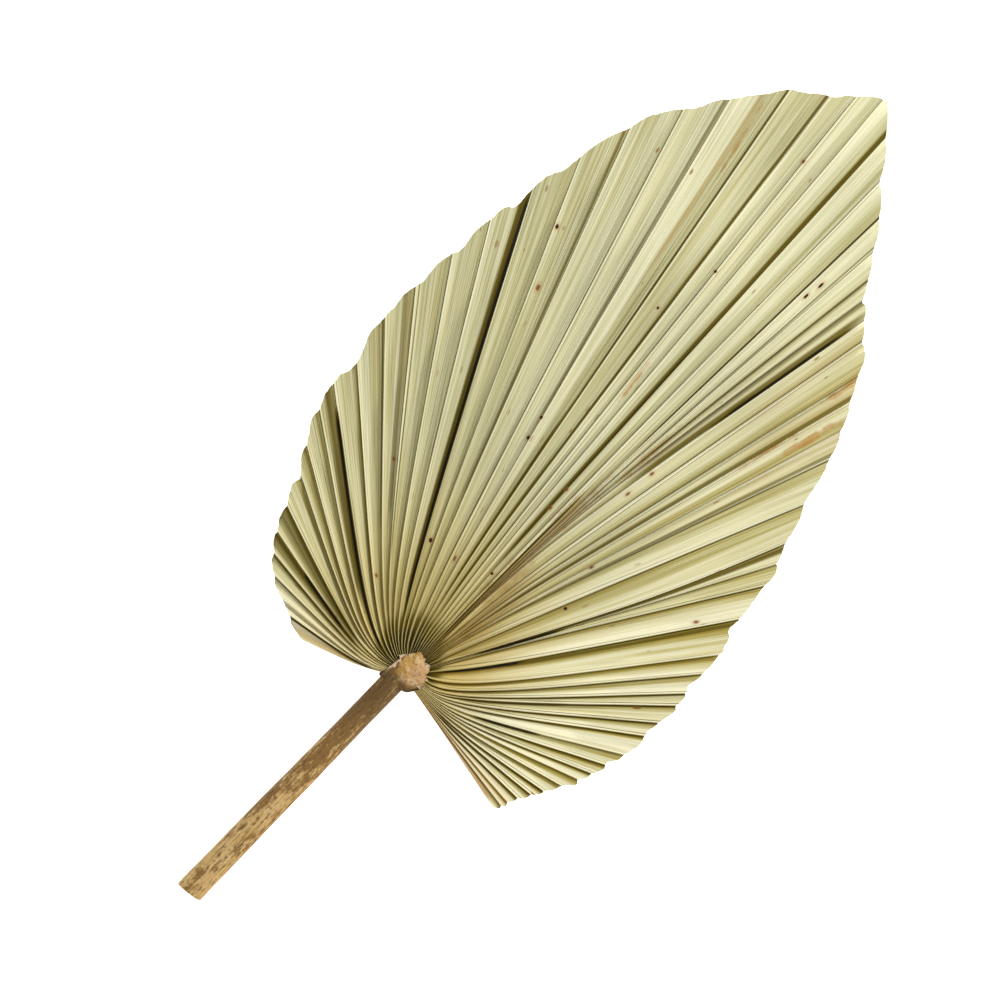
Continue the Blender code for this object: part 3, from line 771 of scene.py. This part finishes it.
def rib_point(bearing, t, extra=0.0):
    """Plan position on a rib: t is 0 at the hub and 1 on the edge, which extra pushes out."""
    angle = math.radians(bearing)
    end = (reach(bearing) + extra) * Vector((math.sin(angle), math.cos(angle)))
    base = Vector(through(RIB_BASE, bearing)) * MM
    bend = Vector(through(RIB_BEND, bearing)) * MM
    near, turning, far = (1 - t)**2, BEND_PULL * 2 * t * (1 - t), EDGE_PULL * t**2
    return (near * base + turning * bend + far * end) / (near + turning + far)


def make_pleats():
    """Lists the pleats, left to right: the bearings of both ridges, and where the valley lies."""
    draw = random.Random(SEED)
    pleats = []
    for (bearing, count, valley), (following, _, _) in zip(FOLDS, FOLDS[1:]):
        width = (following - bearing) / count
        wanders = [0] + [draw.uniform(-FOLD_WANDER, FOLD_WANDER) for _ in range(count - 1)] + [0]
        ridges = [bearing + (number + wander) * width for number, wander in enumerate(wanders)]
        for left, right in zip(ridges, ridges[1:]):
            pleats.append((left, right, valley + draw.uniform(-VALLEY_WANDER, VALLEY_WANDER)))
    return pleats


def lie(spot):
    """Height of the middle of the blade over the surface that it lies on."""
    across = min(abs(spot.x - MIDDLE_X) / FLANK_DISTANCE, 1)
    along = spot.y / TIP_REACH
    arch = HUB_HEIGHT - (HUB_HEIGHT - FLANK_HEIGHT) * across**2
    outward = min(spot.length / FLANK_DISTANCE, 1)
    wave = WAVE_HEIGHT * outward * math.sin(math.tau * spot.y / WAVE_LENGTH) * (1 - across**2)
    return arch + wave - (HUB_HEIGHT - TIP_LIFT) * max(along, 0)**3


def valley_turn(valley, phase):
    """How far round its bend a pleat is: 0 and 1 on the ridges and a half in the valley."""
    return 0.5 * phase / valley if phase < valley else 0.5 + 0.5 * (phase - valley) / (1 - valley)


def rib_rows(bearing):
    """The t of every row on a rib, so that the rows are evenly spaced along it."""
    spots = [rib_point(bearing, sample / RIB_SAMPLES) for sample in range(RIB_SAMPLES + 1)]
    walked = [0.0]
    for before, after in zip(spots, spots[1:]):
        walked.append(walked[-1] + (after - before).length)
    rows, sample = [0.0], 0
    for row in range(1, RIB_ROWS):
        goal = walked[-1] * row / RIB_ROWS
        while walked[sample + 1] < goal:
            sample += 1
        rows.append((sample + (goal - walked[sample]) / (walked[sample + 1] - walked[sample])) / RIB_SAMPLES)
    return rows + [1.0]


def make_columns(pleats):
    """Lists the columns of the blade's mesh, closer at the ridges: pleat number, phase and bearing."""
    columns = []
    for number, (left, right, _) in enumerate(pleats):
        edge_width = (rib_point(right, 1) - rib_point(left, 1)).length
        count = max(FEWEST_COLUMNS, round(edge_width / COLUMN_WIDTH))
        for step in range(count):
            share = step / count
            phase = share - COLUMN_CROWDING / math.tau * math.sin(math.tau * share)
            columns.append((number, phase, left + (right - left) * phase))
    columns.append((len(pleats) - 1, 1.0, pleats[-1][1]))
    return columns


def pleat_depth(width, away, bearing):
    """Half the depth of a pleat, from its width, its distance from the hub, and its bearing."""
    steepness = HUB_STEEPNESS + (PLEAT_STEEPNESS - HUB_STEEPNESS) * smooth_step(away, STEEP_NEAR, STEEP_FAR)
    return min(steepness * width, PLEAT_HALF_DEPTH) * through(DEPTH_BY_BEARING, bearing)[0]


def rib_mark(marks, bearing, share, degree_width):
    """The marked rib that shows most at a place: its distance in half widths, and its strength."""
    strongest, found = 0.0, (FAR_OFF, 0.0)
    for rib, start, end, half_width, strength in marks:
        off = abs(bearing - rib) * degree_width
        half = half_width * MM * smooth_step(share, *RIB_MARK_WIDENING)
        if off < FAR_OFF * half:
            window = (smooth_step(share, start - FADE_IN, start + FADE_IN)
                      * (1 - smooth_step(share, end - FADE_OUT, end + FADE_OUT)))
            shown = strength * window * math.exp(-(off / half)**2)
            if shown > strongest:
                strongest, found = shown, (off / half, strength * window)
    return found


def root_shade(bearing, turn, away):
    """Painted shade: how dark a valley is painted because it lies deep between the ribs close to the hub."""
    reach_out = through(ROOT_REACH, bearing)[0]
    depth = 1 - smooth_step(abs(turn - 0.5) * 2, *ROOT_SIDES)
    return ROOT_DARKNESS * depth * (1 - smooth_step(away, ROOT_FULL_SHARE * reach_out, reach_out))


def make_blade(finish):
    """The pleated blade: one thin sheet, with its fibre directions and tones kept on its points."""
    pleats = make_pleats()
    columns = make_columns(pleats)
    last_column = len(columns) - 1
    draw = random.Random(SEED + 1)
    depths = [draw.uniform(*DEPTH_SPREAD) for _ in pleats]
    tints = [(draw.uniform(-0.5, 0.5), draw.uniform(-0.5, 0.5)) for _ in pleats]
    crease_shades = [draw.uniform(*CREASE_SHADE_SPREAD) for _ in range(len(pleats) + 1)]
    contrasts = [draw.uniform(*CONTRAST_SPREAD) for _ in pleats]
    widths, half_depths = [], []
    for (left, right, _), depth in zip(pleats, depths):
        middle = (left + right) / 2
        left_line, middle_line, right_line = [[rib_point(rib, t) for t in rib_rows(rib)]
                                              for rib in (left, middle, right)]
        widths.append([(after - before).length for before, after in zip(left_line, right_line)])
        half_depths.append([depth * pleat_depth(width, spot.length, middle)
                            for width, spot in zip(widths[-1], middle_line)])
    rows = [rib_rows(bearing) for _, _, bearing in columns]
    edge_walk = [0.0]
    for (_, _, before), (_, _, after) in zip(columns, columns[1:]):
        edge_walk.append(edge_walk[-1] + (rib_point(after, 1) - rib_point(before, 1)).length)

    bm = bmesh.new()
    bmesh.ops.create_grid(bm, x_segments=last_column, y_segments=RIB_ROWS, size=0.5)
    fibre, tone, rim, crease_shade, fold_shade = [bm.verts.layers.float_vector.new(name)
                                      for name in ("fibre", "tone", "rim", "crease_shade", "fold_shade")]
    for vertex in bm.verts:
        column = round((vertex.co.x + 0.5) * last_column)
        row = round((vertex.co.y + 0.5) * RIB_ROWS)
        t = rows[column][row]
        number, phase, bearing = columns[column]
        left, right, valley = pleats[number]
        turn = valley_turn(valley, phase)
        trim = TRIM_ROUGHNESS * noise.noise((edge_walk[column] / TRIM_LENGTH, 0, 0))
        scallop = SCALLOP * (math.sin(math.pi * phase) - 0.5)
        spot = rib_point(bearing, t, scallop + trim)

        half_depth = half_depths[number][row]
        neighbour = min(max(number + (1 if turn > 0.5 else -1), 0), len(pleats) - 1)
        ridge_level = (half_depth + half_depths[neighbour][row]) / 2
        rise = -half_depth + (ridge_level + half_depth) * (1 - math.sin(math.pi * turn))
        vertex.co = (spot.x, spot.y, max(lie(spot) + rise - SOLID_HALF_THICKNESS, 0))

        # Facets turned away from the lamp get painted shade, those turned towards it painted light.
        turned_away = (turn > 0.5) == (bearing < KEY_BEARING)
        contrast = (through(FACET_CONTRAST, bearing)[0] * contrasts[number]
                    * smooth_step(abs(turn - 0.5) * 2, 0, 0.7))
        light = (through(LIGHTNESS, bearing)[0] + LIGHTNESS_SPREAD * tints[number][round(turn)]
                 + contrast * (PAINTED_SHADE_AWAY_FROM_KEY if turned_away else PAINTED_LIGHT_TOWARDS_KEY))
        away = spot.length
        share = away / reach(bearing)
        width = widths[number][row]
        degree_width = width / (right - left)
        ridge_line_strength, crease_shade_half = through(CREASE_SHADES, bearing)
        warm_strength, warm_reach = through(WARMTH, bearing)
        warmth = warm_strength * (1 - smooth_step(away, WARM_NEAR, warm_reach))**WARM_FADE
        vertex[fibre] = (edge_walk[column], away, 0.37 * number)
        vertex[tone] = (light, root_shade(bearing, turn, away), 1 if turned_away else 0)
        orange_off, orange = rib_mark(ORANGE_RIBS, bearing, share, degree_width)
        stain_off, stain = rib_mark(STAINED_RIBS, bearing, share, degree_width)
        vertex[rim] = (orange * math.exp(-orange_off**2), stain * math.exp(-stain_off**2), warmth)
        vertex[crease_shade] = (min(phase, 1 - phase) * width, crease_shade_half * smooth_step(share, *CREASE_SHADE_WIDENING),
                          ridge_line_strength * crease_shades[number + round(turn)])
        vertex[fold_shade] = (*rib_mark(SHADED_FOLDS, bearing, share, degree_width),
                        through(LOBE_SHADE_BROWNING, bearing)[0])
    top = bmesh.ops.extrude_face_region(bm, geom=bm.faces[:])["geom"]
    top_vertices = [part for part in top if isinstance(part, bmesh.types.BMVert)]
    bmesh.ops.translate(bm, verts=top_vertices, vec=(0, 0, BLADE_THICKNESS))
    bmesh.ops.recalc_face_normals(bm, faces=bm.faces[:])
    ridges = [edge for edge in bm.edges if not any(vertex[crease_shade].x for vertex in edge.verts)]
    blade = make_piece("palm_blade", bm, finish, 75, ridges)
    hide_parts("leaf_blade")


def make_tube(ring_count, side_count, place):
    """A closed tube of rings: place(ring, side) gives each point, and two lots of values kept on it."""
    bm = bmesh.new()
    fibre, tone = [bm.verts.layers.float_vector.new(name) for name in ("fibre", "tone")]
    circle = bmesh.ops.create_circle(bm, cap_ends=True, segments=side_count, radius=1)["verts"]
    rings = [circle]
    face = bm.faces[:][0]
    for _ in range(ring_count - 1):
        face = bmesh.ops.extrude_discrete_faces(bm, faces=[face])["faces"][0]
        rings.append([loop.vert for loop in face.loops])
    for ring, vertices in enumerate(rings):
        for side, vertex in enumerate(vertices):
            vertex.co, vertex[fibre], vertex[tone] = place(ring, side)
    bmesh.ops.holes_fill(bm, edges=bm.edges[:])
    bmesh.ops.recalc_face_normals(bm, faces=bm.faces[:])
    return bm


def stalk_point(ring, side):
    """A point on the stalk: rounded above, flattened below, grooved along its fibres."""
    along = max(ring - 1, 0) / (STALK_RINGS - 2)
    width, thickness = through(STALK_SECTIONS, along)
    angle = math.tau * side / STALK_SIDES
    centre_x = STALK_END_X + (STALK_TOP_X - STALK_END_X) * along
    climb = max(along - STALK_FLAT_SHARE, 0) / (1 - STALK_FLAT_SHARE)
    rise = (HUB_HEIGHT - STALK_SECTIONS[0][2] / 2) * climb**1.5
    upper = max(math.sin(angle), -STALK_FLATTEN)
    y = -STALK_LENGTH + (STALK_LENGTH - STALK_RUN_IN) * along
    grain = noise.noise((2.2 * math.cos(angle), 2.2 * math.sin(angle), y / GROOVE_LENGTH))
    fine_grain = noise.noise((6 * math.cos(angle), 6 * math.sin(angle), 5 + y / FINE_GROOVE_LENGTH))
    groove = GROOVE_DEPTH * (grain + 0.5 * fine_grain) * smooth_step(upper, -STALK_FLATTEN, 0)
    cut = ring == 0
    half_width = width / 2 + groove - (CUT_BEVEL if cut else 0)
    half_thickness = thickness / 2 + groove - (CUT_BEVEL / 2 if cut else 0)
    across = half_width * math.cos(angle)
    height = (STALK_FLATTEN + upper) * thickness / 2 + (half_thickness - thickness / 2) * max(upper, 0)
    if cut:
        height = max(height, CUT_LIFT)
    slant = CUT_SLANT * across * (1 - smooth_step(along, 0, 0.05))
    walk = angle * width / 2
    return ((centre_x + across, y + slant, rise + height),
            (walk, y + STALK_LENGTH, 0),
            (0, max(math.cos(angle), 0)**2, 1 if cut else 0))


def hub_rim(side):
    """The hub's outline at one of its sides, read smoothly between its corners."""
    corners = len(HUB_OUTLINE)
    place = side / HUB_SIDES * corners
    around = [(number, *HUB_OUTLINE[number % corners]) for number in range(-2, corners + 3)]
    return Vector(through(around, place)) * MM


def hub_point(ring, side):
    """A point on the hub: the outline, drawn in or out, level by level."""
    height, spread_out, ragged = HUB_LEVELS[ring]
    angle = math.tau * side / HUB_SIDES
    torn = noise.noise((3.1 * math.cos(angle), 3.1 * math.sin(angle), 0.2 * ring))
    torn += 0.6 * noise.noise((8 * math.cos(angle), 8 * math.sin(angle), 4 + 0.2 * ring))
    spot = HUB_MIDDLE + (hub_rim(side) - HUB_MIDDLE) * (spread_out + ragged * torn)
    bumps = HUB_BUMP * noise.noise((spot.x / HUB_BUMP_SIZE.x, spot.y / HUB_BUMP_SIZE.y, 2))
    if ring < FIRST_BUMPY_LEVEL:
        bumps = 0
    away = (spot - PINK_MIDDLE).length
    lump = 1 - smooth_step(away, 0.75 * PINK_REACH, 1.1 * PINK_REACH)
    pink = smooth_step(spot.x, -1.5 * MM, 3 * MM)
    return ((spot.x, spot.y, HUB_HEIGHT + height + bumps),
            (spot.x + 11 * MM, spot.y + STALK_LENGTH, 3), (lump, pink, 0))


def make_stalk(finish):
    """The leaf stalk, and the hub on its upper end."""
    rod = make_tube(STALK_RINGS, STALK_SIDES, stalk_point)
    stalk = make_piece("palm_stalk", rod, finish, 50)
    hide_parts("leaf_stalk")
    lump = make_tube(len(HUB_LEVELS), HUB_SIDES, hub_point)
    hub = make_piece("palm_hub", lump, finish, 50)


def make_scraps(finish):
    """Small torn flaps of sheath that curl up round the hub."""
    bm = bmesh.new()
    draw = random.Random(SEED + 2)
    for x, y, heading, length, width in SCRAPS:
        strip = bmesh.ops.create_grid(bm, x_segments=7, y_segments=4, size=0.5)["verts"]
        spot = from_picture(x, y)
        turn = math.radians(heading) + LEAF_TURN
        curl = draw.uniform(0.5, 1.1)
        for vertex in strip:
            along, across = vertex.co.x + 0.5, vertex.co.y
            taper = 1 - SCRAP_TAPER * along**2
            ragged = 1 + SCRAP_RAGGEDNESS * noise.noise((9 * across + x, 5 * along, y))
            height = HUB_HEIGHT + SCRAP_LIFT + SCRAP_CURL * curl * along**2 + SCRAP_CUP * across**2
            vertex.co = (length * MM * (along - 0.5) * ragged, width * MM * across * taper, height)
        bmesh.ops.rotate(bm, verts=strip, cent=(0, 0, 0), matrix=Matrix.Rotation(turn, 3, "Z"))
        bmesh.ops.translate(bm, verts=strip, vec=spot.to_3d())
    bmesh.ops.solidify(bm, geom=bm.faces[:], thickness=SCRAP_THICKNESS)
    bmesh.ops.recalc_face_normals(bm, faces=bm.faces[:])
    scraps = make_piece("sheath_scraps", bm, finish, 60)


# The whole scene

make_camera()
make_world()
make_lamp()
make_floor()
streak_group = make_streak_group()
make_blade(make_blade_finish(streak_group, make_patch_group()))
make_stalk(make_stalk_finish(streak_group))
make_scraps(make_scrap_finish())
bpy.context.scene.view_settings.view_transform = "Standard"
